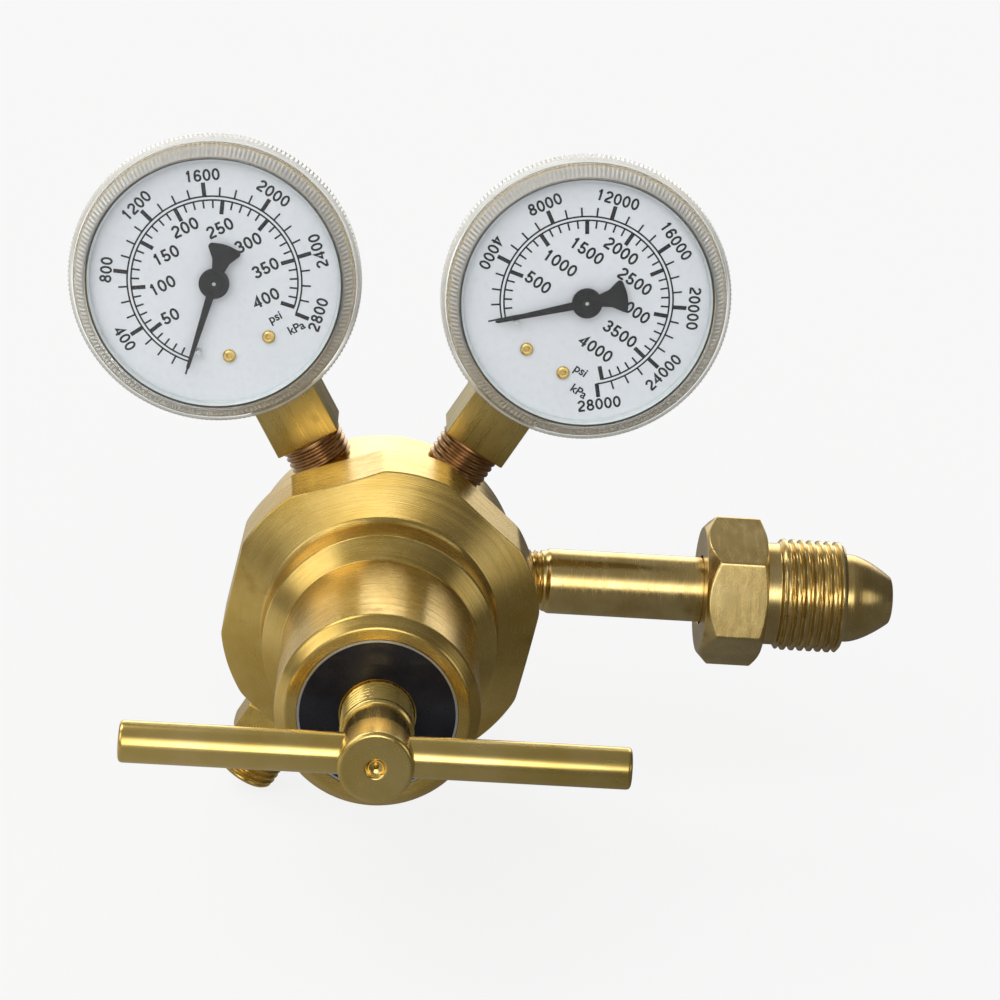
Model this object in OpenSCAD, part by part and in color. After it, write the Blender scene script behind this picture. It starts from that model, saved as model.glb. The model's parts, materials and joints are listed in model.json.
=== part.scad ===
/* [Pressure body] */
// Diameter of the thread that joins body and bonnet
joint_thread_d = 54; // [46:0.5:66]
// Wall of the body outside that thread
body_shoulder = 2.4; // [2:0.1:6]
// Port plane to the shoulder that the bonnet screws up to
body_front = 16.4; // [14:0.1:22]
// Port plane to the rear face
body_back = 12; // [10.5:0.1:18]
// Chamfer round the rear face
body_chamfer = 5.8; // [1:0.1:8]
// Length of the threaded spigot
spigot_len = 11.6; // [9:0.1:16]
// Depth of the low pressure chamber under the diaphragm
chamber_depth = 7; // [6:0.1:9]
// Spigot wall around the low pressure chamber
chamber_wall = 5; // [4:0.1:6]

/* [Bonnet] */
// Metal between the joint thread and the hexagon flats
bonnet_wall = 4.75; // [3:0.05:7]
// How far the turned corners stand out past the flats
hex_corner_stand = 1.55; // [0.5:0.05:3]
// Length of the hexagon along the main axis
bonnet_hex_len = 15.2; // [10:0.1:17]
// Turn of the hexagon against the ports
bonnet_clocking = 19.5; // [0:0.5:60]
// How far the foot of the brushed cone stands out past the collar
cone_foot_stand = 0.8; // [0.2:0.1:3]
// Length of the brushed cone
cone_len = 4.5; // [3:0.1:8]
// Wall of the collar around the room for the diaphragm plate
collar_wall = 3.5; // [2:0.1:5]
// Length of the collar with the fillet behind it
collar_len = 9; // [6:0.1:14]
// Length of the cone between collar and barrel
collar_cone_len = 3.4; // [2:0.1:6]
// Barrel wall around the spring room
barrel_wall = 3.5; // [2.5:0.1:4]
// Length of the barrel up to its front chamfer
barrel_len = 30.6; // [28:0.1:40]
// Chamfer at the front of the barrel
barrel_chamfer = 2.1; // [0.8:0.1:3]
// Thickness of the threaded front wall
front_wall = 9; // [6:0.1:9]

/* [Label ring] */
// Width of the bare metal edge around the label
label_margin = 2.4; // [1:0.1:3]
// Thickness of the label
label_t = 0.3; // [0.2:0.05:0.6]

/* [Adjusting screw and handle] */
// Diameter of the adjusting screw thread
screw_d = 14.3; // [12:0.1:17]
// Pitch of the adjusting screw thread
screw_pitch = 1.411; // [1:0.001:2]
// Main axis length of screw outside the bonnet
screw_out = 25.3; // [22:0.1:40]
// Length of the plain head
head_len = 8.1; // [7:0.1:12]
// Length of the turned neck between thread and head
neck_len = 7.8; // [5:0.1:9]
// How far the neck lies below the thread
neck_relief = 0.65; // [0.2:0.05:1]
// Middle of the handle bar behind the end of the screw
bar_set_back = 6.5; // [5.5:0.1:7]
// Diameter of the handle bar
bar_d = 7.9; // [6:0.1:9]
// Length of the handle bar
bar_len = 95.2; // [70:0.2:120]

/* [Adjusting spring] */
// Mean diameter of the adjusting spring
spring_mean_d = 24; // [21:0.2:26]
// Wire diameter of the adjusting spring
spring_wire = 3.2; // [2.4:0.1:3.6]
// Number of turns
spring_turns = 6; // [5:0.5:7]
// Room between the spring and the barrel bore
spring_room = 2.9; // [1.5:0.1:3.5]
// Thickness of the spring button
button_t = 6; // [5:0.1:7]
// Gap in front of the button, which the handle may back out by
button_gap = 4; // [3.5:0.1:5]

/* [Diaphragm] */
// Thickness of the diaphragm
diaphragm_t = 0.6; // [0.4:0.05:1.2]
// Thickness of the slip ring that clamps it
slip_ring_t = 2; // [1:0.1:3]
// Thickness of the plate that carries the spring
plate_t = 3; // [2:0.1:3.5]

/* [Valve] */
// Diameter of the bore that holds the nozzle
valve_bore_d = 15; // [13:0.1:17]
// Diameter of the gas room around the poppet cage
cage_room_d = 12; // [11:0.1:12.4]
// Outer diameter of the poppet
poppet_d = 6.4; // [5:0.1:7]
// Diameter of the hole through the soft seat
seat_hole_d = 3.2; // [2.6:0.05:3.6]
// Diameter of the poppet stem
stem_d = 2; // [1.4:0.05:2.2]
// Thickness of the soft seat
seat_t = 3; // [2:0.1:4]

/* [Inlet] */
// Main axis to the shoulder of the inlet nipple
inlet_reach = 102.9; // [92:0.1:130]
// Diameter of the inlet tube
tube_d = 14.26; // [12:0.02:16]
// Bore of the inlet tube
tube_bore_d = 6.4; // [4:0.1:7]
// Pipe thread left to see between body and tube
inlet_thread_show = 6.4; // [3:0.1:9]
// Diameter of the nipple collar
collar_d = 19.4; // [17:0.1:20]
// Length of the nipple collar
nipple_collar_len = 13.5; // [8:0.1:14]
// Length of the bullet nose
nose_len = 9.4; // [7:0.1:13]
// Across flats of the inlet nut
nut_af = 28.6; // [27:0.1:36]
// Length of the nut with its thread
nut_len = 31.1; // [30:0.1:40]
// Length of the nut's hexagon
nut_hex_len = 13.4; // [10:0.1:14]
// Outer diameter of the nut's thread
nut_thread_d = 24.5; // [24:0.1:26.5]
// Length of the nut's thread
nut_thread_len = 14.5; // [10:0.1:16]

/* [Outlet] */
// Pipe thread left to see between body and hexagon
outlet_thread_show = 10.6; // [4:0.1:14]
// Outer diameter of the outlet thread
outlet_thread_d = 14.3; // [12:0.1:16]
// Length of the outlet thread
outlet_thread_len = 8.6; // [7:0.1:14]
// Across flats of the outlet hexagon
outlet_af = 16; // [15:0.1:22]
// Length of the outlet hexagon
outlet_hex_len = 8; // [5:0.1:12]
// Bore of the outlet fitting
outlet_bore_d = 6.4; // [4:0.1:7]

/* [Ports] */
// Diameter of the pipe thread in the ports
port_d = 13.4; // [12:0.1:14]
// Depth of the ports
port_depth = 12.4; // [10:0.1:14]
// Diameter of the drilled gas ways
gas_way_d = 3.6; // [2:0.1:4]

/* [Gauges] */
// Outer radius of the gauge window
window_r = 30.4; // [27:0.1:37]
// Block shoulder to the middle of the dial
stem_len = 41.8; // [38:0.1:52]
// Side of the square gauge block
block_w = 14.2; // [12:0.1:15.4]
// Thread left to see under the delivery gauge
thread_show_low = 5.5; // [2:0.1:8]
// Thread left to see under the cylinder gauge
thread_show_high = 6.4; // [2:0.1:8]
// Wall of the gauge case
case_wall = 1; // [0.6:0.1:1.2]
// Length of the pointer from its hub to its tip
pointer_len = 19.4; // [14:0.1:22]
// Full turn of the pointer
pointer_sweep = 270; // [240:1:270]

/* [Gauge movement] */
// Teeth on the pinion
pinion_teeth = 8; // [8:1:8]
// Teeth of the whole wheel that the sector is cut from
wheel_teeth = 64; // [64:1:64]
// Size of the teeth, as pitch diameter over their number
tooth_module = 0.36; // [0.32:0.01:0.38]
// Radius of the Bourdon tube's centre line
bourdon_r = 21; // [19.5:0.1:22.4]
// Link pin to the sector's pivot
link_arm = 5.5; // [4:0.1:6.5]

/* [Hidden] */

$fn = 96;

// Clearances
thread_gap = 0.05;
slide_gap = 0.1;
seat_gap = 0.05;
eps = 0.01;

// Directions of the ports about the main axis, from +X towards +Z
inlet_angle = 0;
high_angle = 60;
low_angle = 120;
outlet_angle = 240;

// Radii and places along the main axis, forwards from the port plane
spigot_r = joint_thread_d / 2;
body_r = spigot_r + body_shoulder;
chamber_r = spigot_r - chamber_wall;
spigot_end = body_front + spigot_len;
chamber_floor = spigot_end - chamber_depth;
diaphragm_r = spigot_r - 0.5;
diaphragm_front = spigot_end + diaphragm_t;
slip_front = diaphragm_front + slip_ring_t;
hex_r = spigot_r + bonnet_wall;
corner_r = hex_r + hex_corner_stand;
hex_front = body_front + bonnet_hex_len;
cone_front = hex_front + cone_len;
collar_front = cone_front + collar_len;
fillet_len = 1.6;
spring_r = spring_mean_d / 2;
barrel_bore_r = spring_r + spring_wire / 2 + spring_room;
barrel_r = barrel_bore_r + barrel_wall;
barrel_back = collar_front + collar_cone_len;
barrel_edge = barrel_back + barrel_len;
bonnet_end = barrel_edge + barrel_chamfer;
face_r = barrel_r - barrel_chamfer;
label_r = face_r - label_margin;
wall_back = bonnet_end - front_wall;
plate_r = chamber_r - 3;
plate_room_r = plate_r + 1.5;
collar_r = plate_room_r + collar_wall;
cone_foot_r = collar_r + cone_foot_stand;

// Adjusting screw
screw_r = screw_d / 2;
screw_end = bonnet_end + screw_out;
head_back = screw_end - head_len;
thread_front = head_back - neck_len;
neck_r = screw_r - neck_relief;
head_edge = 0.3;
centre_r = 1.7;
bar_at = screw_end - bar_set_back;
button_front = wall_back - button_gap;
button_back = button_front - button_t;
tip_r = screw_r - 2.7;
tip_depth = 1.5;
button_r = barrel_bore_r - 1;

// Plate and spring rest on the diaphragm
plate_back = diaphragm_front + seat_gap;
plate_front = plate_back + plate_t;

// Valve, from the chamber floor backwards, and the filter in front of it
nozzle_back = chamber_floor - 9;
cage_flange_t = 1.5;
cage_flange_back = nozzle_back - cage_flange_t;
cage_room_back = -4;
cage_r = cage_room_d / 2 - 1;
guide_r = poppet_d / 2 + slide_gap;
cage_floor_t = 1.5;
cage_back = cage_room_back + 1;
seat_r = 4.15;
stem_end = spigot_end - seat_gap;
poppet_back = nozzle_back - 9;
filter_r = 4.4;
filter_len = 11;
cone_slope = (poppet_d - seat_hole_d + 0.04) / 2 / 2.4;

// Port bottoms and the ways to the low pressure chamber
port_bottom = body_r - port_depth;
way_r = gas_way_d / 2;
way_at = port_bottom + way_r + 0.7;

// Gauges, in their own frame: the stem points to -Y and the dial to +Z
low_reach = body_r + thread_show_low + stem_len;
high_reach = body_r + thread_show_high + stem_len;
skirt_wall = 1.65;
case_r = window_r - skirt_wall - 0.15;
case_front = 12.9;
case_back = -9;
dial_r = case_r - 2.15;
dial_back = 13.1;
dial_front = 13.6;
window_in = 16.2;
window_out = 17.2;
skirt_back = 9.5;
zero_angle = 225.5;
stop_angle = zero_angle + 4.5;
block_end = 11;
ledge = 19;
frame_screw_at = [0, -16.6];
frame_screw_r = 0.65;
frame_back = 3;
frame_front = 9;
frame_t = 0.8;
dial_screw_at = [4.6, -15.4];
dial_boss_r = 1.8;
pinion_r = tooth_module * pinion_teeth / 2;
tooth_foot = 0.46;
wheel_r = tooth_module * wheel_teeth / 2;
sector_at = [0, -pinion_r - wheel_r];
sector_sweep = pointer_sweep * pinion_teeth / wheel_teeth;
sector_half = 25;
shaft_r = 0.9;
arbor_r = 0.8;
pin_r = 0.5;
link_pin_at = sector_at + link_arm * [sin(sector_sweep / 2), cos(sector_sweep / 2)];
tube_start = -77;
tube_end = 196;
tip_angle = 200;
tip_at = bourdon_r * [cos(tip_angle), sin(tip_angle)];
tube_flat = 8;
tube_thick = 3;
stop_r = 0.62;
stop_at = 15.2;
pointer_back = 14.95;
pointer_front = 15.65;
hub_r = 3.15;
tail_r = 8.55;

brass = [0.80, 0.64, 0.31];
pale_brass = [0.86, 0.73, 0.42];
steel = [0.62, 0.63, 0.65];
black = [0.06, 0.06, 0.06];
clear = [0.85, 0.88, 0.88, 0.4];
white = [0.94, 0.94, 0.93];
bronze = [0.62, 0.44, 0.24];

// Main axis frame: X stays, +Y becomes up and +Z becomes forwards
module placed() translate([-inlet_reach, 0, 0]) rotate([90, 0, 0]) children();

// Draws along the radius of the body at an angle, with +Z outwards
module radial(angle) rotate([0, 0, angle]) rotate([0, 90, 0]) children();

module gauge_low() placed() rotate([0, 0, low_angle - 90]) translate([0, low_reach, 0]) children();
module gauge_high() placed() rotate([0, 0, high_angle - 90]) translate([0, high_reach, 0]) children();

module rod(r, z0, z1) translate([0, 0, z0]) cylinder(r=r, h=z1 - z0);
module rod_at(at, r, z0, z1) translate([at[0], at[1], 0]) rod(r, z0, z1);
module hexagon(af, z0, z1) translate([0, 0, z0]) cylinder(r=af / 2 / cos(30), h=z1 - z0, $fn=6);
module turned(points) rotate_extrude() polygon(points);
module ring(r0, r1, z0, z1) turned([[r0, z0], [r1, z0], [r1, z1], [r0, z1]]);

// Rod with a chamfer at its outer end
module ended_rod(r, z0, z1, chamfer)
  turned([[0, z0], [r, z0], [r, z1 - chamfer], [r - chamfer, z1], [0, z1]]);

function arc(at, r, a0, a1, n) =
  [for (i = [0:n]) at + r * [cos(a0 + (a1 - a0) * i / n), sin(a0 + (a1 - a0) * i / n)]];

// Height of a coil at turn t, with one closed turn at each end
function coil_z(t, turns, wire, z0, z1) =
  let (open = (z1 - z0 - 3 * wire) / (turns - 2))
  z0 + wire / 2 + (t < 1 ? t * wire : t > turns - 1
    ? wire + open * (turns - 2) + (t - turns + 1) * wire
    : wire + open * (t - 1));

module coil(mean_r, wire, turns, z0, z1, steps, sides) {
  n = floor(turns * steps);
  points = [for (i = [0:n])
    let (t = i / steps, a = 360 * t, z = coil_z(t, turns, wire, z0, z1))
    for (j = [0:sides - 1])
      let (b = 360 * j / sides, r = mean_r + wire / 2 * cos(b))
      [r * cos(a), r * sin(a), z + wire / 2 * sin(b)]];
  faces = concat(
    [[for (j = [0:sides - 1]) j]],
    [for (i = [0:n - 1], j = [0:sides - 1])
      let (k = (j + 1) % sides)
      [i * sides + j, (i + 1) * sides + j, (i + 1) * sides + k, i * sides + k]],
    [[for (j = [sides - 1:-1:0]) n * sides + j]]);
  polyhedron(points, faces);
}

// Body: round bar with a threaded spigot, the chamber and the drilled gas ways
module body() color(brass) placed() difference() {
  turned([
    [0, -body_back], [body_r - body_chamfer, -body_back], [body_r, -body_back + body_chamfer],
    [body_r, body_front], [spigot_r, body_front], [spigot_r, spigot_end - 0.8],
    [spigot_r - 0.8, spigot_end], [0, spigot_end]
  ]);
  rod(chamber_r, chamber_floor, spigot_end + 1);
  rod(valve_bore_d / 2, cage_flange_back, chamber_floor + 1);
  rod(cage_room_d / 2, cage_room_back, cage_flange_back + 1);
  for (a = [inlet_angle, high_angle, low_angle, outlet_angle])
    radial(a) rod(port_d / 2 + thread_gap, port_bottom, body_r + 1);
  for (a = [inlet_angle, high_angle])
    radial(a) rod(way_r, cage_room_d / 2 - 1, port_bottom + 1);
  for (a = [low_angle, outlet_angle])
    rotate([0, 0, a]) translate([way_at, 0, 0]) rod(way_r, -way_r, chamber_floor + 1);
}

// Bonnet: hexagon with turned corners, brushed cone, collar and spring barrel
module bonnet() color(pale_brass) placed() difference() {
  union() {
    intersection() {
      rotate([0, 0, bonnet_clocking]) hexagon(2 * hex_r, body_front, cone_front);
      turned([
        [0, body_front], [corner_r - 0.6, body_front], [corner_r, body_front + 0.6],
        [corner_r, hex_front], [cone_foot_r, cone_front], [0, cone_front]
      ]);
    }
    turned(concat(
      [[0, cone_front - 1], [cone_foot_r, cone_front - eps]],
      arc([collar_r + fillet_len, cone_front + fillet_len], fillet_len, 240, 180, 5),
      [
        [collar_r, collar_front - 0.3], [collar_r - 0.3, collar_front], [barrel_r, barrel_back],
        [barrel_r, barrel_edge], [face_r, bonnet_end], [0, bonnet_end]
      ]));
  }
  rod(spigot_r + thread_gap, body_front - 1, slip_front);
  rod(plate_room_r, slip_front - 1, cone_front);
  rod(barrel_bore_r, cone_front - 1, wall_back);
  rod(screw_r + thread_gap, wall_back - 1, bonnet_end + 1);
  rod(label_r + slide_gap, bonnet_end - label_t, bonnet_end + 1);
}

module label_ring() color(black) placed()
  ring(screw_r + 0.35, label_r, bonnet_end - label_t, bonnet_end);

module slip_ring() color(brass) placed()
  ring(plate_room_r + 0.8, spigot_r - 0.3, diaphragm_front, slip_front);

module diaphragm() color(black) placed() rod(diaphragm_r, spigot_end, diaphragm_front);

// Plate with a raised rim that centres the spring
module diaphragm_plate() color(brass) placed() {
  rod(plate_r, plate_back, plate_front);
  rod(spring_r - spring_wire / 2 - 0.4, plate_front - eps, plate_front + 2);
}

module adjusting_spring() color(steel) placed()
  coil(spring_r, spring_wire, spring_turns, plate_front + seat_gap, button_back - seat_gap, 16, 8);

module spring_button() color(steel) placed() difference() {
  union() {
    turned([
      [0, button_back], [button_r, button_back], [button_r, button_front - 1.5],
      [button_r - 1.5, button_front], [0, button_front]
    ]);
    rod(spring_r - spring_wire / 2 - 0.4, button_back - 2, button_back + eps);
  }
  rod(tip_r + slide_gap, button_front - tip_depth, button_front + 1);
}

// Screw: thread, neck, plain head, a lathe centre and the cross hole
module adjusting_screw() color(pale_brass) placed() difference() {
  tip_back = button_front - tip_depth + seat_gap;
  turned([
    [0, tip_back], [tip_r, tip_back],
    [tip_r, button_front + 0.5], [screw_r - 0.6, button_front + 0.5], [screw_r, button_front + 1.1],
    [screw_r, thread_front - head_edge], [screw_r - head_edge, thread_front], [neck_r, thread_front],
    [neck_r, head_back], [screw_r - head_edge, head_back], [screw_r, head_back + head_edge],
    [screw_r, screw_end - 2 * head_edge], [screw_r - 2 * head_edge, screw_end], [0, screw_end]
  ]);
  translate([0, 0, screw_end]) sphere(r=centre_r);
  translate([-screw_r - 1, 0, bar_at]) rotate([0, 90, 0]) rod(bar_d / 2 + 0.02, 0, screw_d + 2);
}

// Handle bar with softly broken ends
module t_bar() color(pale_brass) placed() translate([0, 0, bar_at]) rotate([0, 90, 0])
  turned(concat(
    [[0, -bar_len / 2]],
    arc([bar_d / 2 - 0.9, 0.9 - bar_len / 2], 0.9, 270, 360, 4),
    arc([bar_d / 2 - 0.9, bar_len / 2 - 0.9], 0.9, 0, 90, 4),
    [[0, bar_len / 2]]));

// Nozzle: hexagon head in the chamber, thread in the body, soft seat at its back
module valve_nozzle() color(brass) placed() difference() {
  union() {
    rod(valve_bore_d / 2 - thread_gap, nozzle_back, chamber_floor + eps);
    hexagon(valve_bore_d + 1.6, chamber_floor, chamber_floor + 3.5);
  }
  rod(stem_d / 2 + 1, nozzle_back - 1, chamber_floor + 4);
  rod(seat_r + seat_gap, nozzle_back - 1, nozzle_back + seat_t);
}

module valve_seat() color(white) placed()
  ring(seat_hole_d / 2, seat_r, nozzle_back, nozzle_back + seat_t);

// Cage: flange clamped under the nozzle, guide bore and four gas holes
module poppet_cage() color(brass) placed() difference() {
  union() {
    rod(valve_bore_d / 2 - 0.1, cage_flange_back, nozzle_back);
    rod(cage_r, cage_back, cage_flange_back + eps);
  }
  rod(guide_r, cage_back + cage_floor_t, nozzle_back + 1);
  for (a = [0:90:270])
    radial(a + 45) translate([2.5 - nozzle_back, 0, 0]) rod(0.9, guide_r - 1, cage_room_d);
}

// Poppet: guided body, cone that closes the seat, stem up to the diaphragm
module poppet() color(steel) placed() {
  stem_foot = nozzle_back + (seat_hole_d - 0.04 - stem_d) / 2 / cone_slope;
  turned([
    [0, poppet_back], [poppet_d / 2 - 0.9, poppet_back], [poppet_d / 2 - 0.9, poppet_back + 1],
    [poppet_d / 2, poppet_back + 1], [poppet_d / 2, nozzle_back - 2.4],
    [stem_d / 2, stem_foot], [stem_d / 2, stem_end], [0, stem_end]
  ]);
}

module poppet_spring() color(steel) placed()
  coil(poppet_d / 2 - 0.55, 0.6, 5, cage_back + cage_floor_t + seat_gap, poppet_back - seat_gap, 12, 6);

// Nipple: threaded tube end, tube, collar and the bullet nose that seals in the valve
module inlet_nipple() color(brass) placed() radial(inlet_angle) {
  tube_r = tube_d / 2;
  show_end = body_r + inlet_thread_show;
  collar_back = inlet_reach - nipple_collar_len;
  nose_r = collar_d / 2;
  difference() {
    turned(concat(
      [
        [0, port_bottom + 0.5], [port_d / 2 - 0.7, port_bottom + 0.5], [port_d / 2, port_bottom + 1.2],
        [port_d / 2, show_end], [tube_r, show_end + 0.8], [tube_r, collar_back - 1],
        [nose_r, collar_back], [nose_r, inlet_reach]
      ],
      [for (i = [1:7])
        let (t = i / 8)
        [nose_r * (1 - 0.48 * pow(t, 1.55)), inlet_reach + nose_len * t]],
      [[3.2, inlet_reach + nose_len], [0, inlet_reach + nose_len]]));
    rod(tube_bore_d / 2, port_bottom, inlet_reach);
    rod(2.2, inlet_reach - 1, inlet_reach + nose_len + 1);
    rod(filter_r + 0.1, port_bottom, port_bottom + filter_len + 0.7);
  }
}

// Sintered filter in the end of the inlet tube
module inlet_filter() color(bronze) placed() radial(inlet_angle) difference() {
  rod(filter_r, port_bottom + 0.6, port_bottom + filter_len + 0.6);
  rod(filter_r - 1.6, port_bottom, port_bottom + filter_len - 1.4);
}

// Nut: chamfered hexagon, run-out groove and thread, free on the nipple
module inlet_nut() color(brass) placed() radial(inlet_angle) {
  nut_front = inlet_reach - 1.6;
  nut_back = nut_front - nut_len;
  hex_end = nut_back + nut_hex_len;
  thread_back = nut_front - nut_thread_len;
  thread_r = nut_thread_d / 2;
  flat_r = nut_af / 2;
  corner = flat_r / cos(30);
  seat = inlet_reach - nipple_collar_len - 0.3;
  nut_clocking = 18.5;
  root_r = thread_r - 1.05;
  bore_gap = 0.45;
  collar_gap = 0.15;
  difference() {
    union() {
      intersection() {
        rotate([0, 0, nut_clocking]) hexagon(nut_af, nut_back, hex_end);
        turned([
          [0, nut_back], [flat_r - 0.5, nut_back], [corner + 0.1, nut_back + 2.7],
          [corner + 0.1, hex_end - 1.4], [flat_r - 0.5, hex_end], [0, hex_end]
        ]);
      }
      rod(root_r, hex_end - 1, thread_back + 1);
      turned([
        [0, thread_back], [root_r, thread_back], [thread_r, thread_back + 0.7],
        [thread_r, nut_front - 0.9], [thread_r - 0.9, nut_front], [0, nut_front]
      ]);
    }
    rod(tube_d / 2 + bore_gap, nut_back - 1, nut_front);
    rod(collar_d / 2 + collar_gap, seat - 1, nut_front + 1);
  }
}

// Outlet: threaded into the body, hexagon, hose thread with a cone seat
module outlet_fitting() color(brass) placed() radial(outlet_angle) {
  hex_back = body_r + outlet_thread_show;
  hex_end = hex_back + outlet_hex_len;
  fitting_end = hex_end + outlet_thread_len;
  corner = outlet_af / 2 / cos(30);
  difference() {
    union() {
      turned([
        [0, port_bottom + 0.5], [port_d / 2 - 0.7, port_bottom + 0.5], [port_d / 2, port_bottom + 1.2],
        [port_d / 2, hex_back], [0, hex_back]
      ]);
      intersection() {
        hexagon(outlet_af, hex_back - eps, hex_end);
        turned([
          [0, hex_back - eps], [outlet_af / 2 - 0.2, hex_back - eps], [corner, hex_back + 0.9],
          [corner, hex_end - 0.9], [outlet_af / 2 - 0.2, hex_end], [0, hex_end]
        ]);
      }
      ended_rod(outlet_thread_d / 2, hex_end - 1, fitting_end, 0.8);
    }
    rod(outlet_bore_d / 2, port_bottom, fitting_end + 1);
    turned([[0, fitting_end - 3], [outlet_bore_d / 2 - 0.2, fitting_end - 3], [5.2, fitting_end + 0.6], [0, fitting_end + 0.6]]);
  }
}

// Block: pipe thread, square stem, ledge for the movement and slot for the tube
module gauge_socket(thread_show) {
  shoulder = -stem_len;
  thread_end = shoulder - thread_show - port_depth + 1;
  half = block_w / 2;
  difference() {
    union() {
      translate([-half, shoulder, -half]) cube([block_w, stem_len - block_end, block_w]);
      translate([0, shoulder + 1, 0]) rotate([90, 0, 0]) ended_rod(port_d / 2, 0, shoulder + 1 - thread_end, 0.7);
    }
    translate([-half - 1, -ledge, frame_back]) cube([block_w + 2, ledge, half]);
    rotate([0, 0, tube_start - 1]) rotate_extrude(angle=20)
      translate([bourdon_r, 0]) square([tube_thick + 0.2, tube_flat + 0.2], center=true);
    translate([0, thread_end - 1, 0]) rotate([-90, 0, 0]) rod(1.5, 0, 1 - bourdon_r - thread_end);
    translate([0, 0.5 - bourdon_r, 0]) rotate([0, 90, 0]) rod(0.9, 0, 5.2);
    rod_at(frame_screw_at, frame_screw_r + 0.05, -1, frame_back + 1);
  }
  for (side = [-1, 1]) difference() {
    rod_at([side * dial_screw_at[0], dial_screw_at[1]], dial_boss_r, frame_back - eps, dial_back);
    rod_at([side * dial_screw_at[0], dial_screw_at[1]], 0.8, dial_back - 4, dial_back + 1);
  }
}

// Case: pressed cup that narrows to the back, with a square opening for the block
module gauge_case() {
  back_r = case_r - 3.6;
  difference() {
    turned([
      [0, case_back], [back_r - 1.5, case_back], [back_r - 0.4, case_back + 0.5], [back_r, case_back + 1.6],
      [case_r - 0.7, 1], [case_r, 3.4], [case_r, case_front], [case_r - case_wall, case_front],
      [case_r - case_wall, 3.5], [case_r - case_wall - 0.7, 1.2], [back_r - case_wall, case_back + 1.8],
      [back_r - case_wall - 0.8, case_back + case_wall], [0, case_back + case_wall]
    ]);
    translate([-block_w / 2 - 0.1, -case_r - 1, -block_w / 2 - 0.1])
      cube([block_w + 0.2, case_r - 15, block_w + 0.2]);
  }
}

// Window: clear cover with a sloping shoulder and a gripping skirt
module gauge_window() turned([
  [0, window_in], [window_r - 3.9, window_in], [window_r - 2.3, window_in - 2],
  [window_r - skirt_wall, window_in - 3], [window_r - skirt_wall, skirt_back], [window_r - 0.2, skirt_back],
  [window_r, skirt_back + 0.5], [window_r, 12.6], [window_r - 0.4, 13.3], [window_r - 1.2, 13.6],
  [window_r - 1.5, 14.6], [window_r - 3.4, 16.9], [window_r - 3.8, window_out], [0, window_out]
]);

// Gasket: black ring between dial and window
module gauge_gasket() ring(dial_r - 0.75, dial_r, dial_front + seat_gap, window_in - seat_gap);

module gauge_dial() difference() {
  rod(dial_r, dial_back, dial_front);
  rod(shaft_r + 0.7, dial_back - 1, dial_front + 1);
  for (side = [-1, 1])
    rod_at([side * dial_screw_at[0], dial_screw_at[1]], 0.95, dial_back - 1, dial_front + 1);
  rotate([0, 0, stop_angle]) rod_at([stop_at, 0], stop_r + 0.02, dial_back - 1, dial_front + 1);
}

module dial_screws() for (side = [-1, 1]) translate([side * dial_screw_at[0], dial_screw_at[1], 0])
  difference() {
    turned([
      [0, dial_back - 3], [0.75, dial_back - 3], [0.75, dial_front], [1.4, dial_front],
      [1.4, dial_front + 0.35], [1, dial_front + 0.7], [0, dial_front + 0.8]
    ]);
    translate([-2, -0.2, dial_front + 0.4]) cube([4, 0.4, 1]);
  }

module pointer_stop() rotate([0, 0, stop_angle])
  rod_at([stop_at, 0], stop_r, dial_back, dial_front + 2.1);

// Pointer: tapered blade, hub and fan tail, drawn with its tip along +X
module pointer() rotate([0, 0, zero_angle]) difference() {
  union() {
    rod(hub_r, pointer_back, pointer_front);
    translate([0, 0, pointer_back + 0.1]) linear_extrude(0.4) polygon(concat(
      [[2, -0.85], [pointer_len - 0.5, -0.35], [pointer_len, -0.1], [pointer_len, 0.1]],
      [[pointer_len - 0.5, 0.35], [2, 0.85], [-2.6, 1.25]],
      [[-5, 1.85]],
      arc([-7.4, 2.6], 0.8, 70, 155, 4),
      arc([0, 0], tail_r, 166, 194, 4),
      arc([-7.4, -2.6], 0.8, 205, 290, 4),
      [[-5, -1.85], [-2.6, -1.25]]));
  }
  rod(shaft_r - 0.15, pointer_back - 1, pointer_front + 1);
}

function polar(r, a) = r * [cos(a), sin(a)];

// Outline of one tooth at an angle: half widths in degrees at root, pitch and tip
function tooth(a, root, pitch, tip, w) = [
  polar(root, a - w[0]), polar(pitch, a - w[1]), polar(tip, a - w[2]),
  polar(tip, a + w[2]), polar(pitch, a + w[1]), polar(root, a + w[0])
];

// Pinion: shaft that carries the pointer, with the teeth cut on it
module pinion() {
  step = 360 / pinion_teeth;
  rod(shaft_r, frame_back + 0.05, pointer_back - 0.05);
  rod(shaft_r - 0.2, pointer_back - 0.1, pointer_front - 0.05);
  translate([0, 0, 5.2]) linear_extrude(2.4) polygon([for (i = [0:pinion_teeth - 1])
    each tooth(270 + (i + 0.5) * step, pinion_r - tooth_foot, pinion_r, pinion_r + 0.2, [7, 7, 3])]);
}

// Sector: toothed arc on an arbor, with the pin that the link pulls
module sector() {
  step = 360 / wheel_teeth;
  count = floor(sector_half / step);
  translate([sector_at[0], sector_at[1], 0]) {
    rod(arbor_r, frame_back + 0.05, frame_front + frame_t - 0.05);
    rod(1.5, 5, 7.4);
    rotate([0, 0, 90 - sector_sweep / 2]) translate([0, 0, 6]) linear_extrude(0.8) polygon(concat(
      [[-1, -1.4]],
      [polar(wheel_r - 1.6, -sector_half), polar(wheel_r - 0.5, -sector_half)],
      [for (i = [-count:count])
        each tooth(i * step, wheel_r - tooth_foot, wheel_r, wheel_r + 0.32, [1.45, 1.05, 0.45])],
      [polar(wheel_r - 0.5, sector_half), polar(wheel_r - 1.6, sector_half)],
      [[-1, 1.4]]));
  }
  rod_at(link_pin_at, pin_r, 4.2, 6.2);
}

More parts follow.
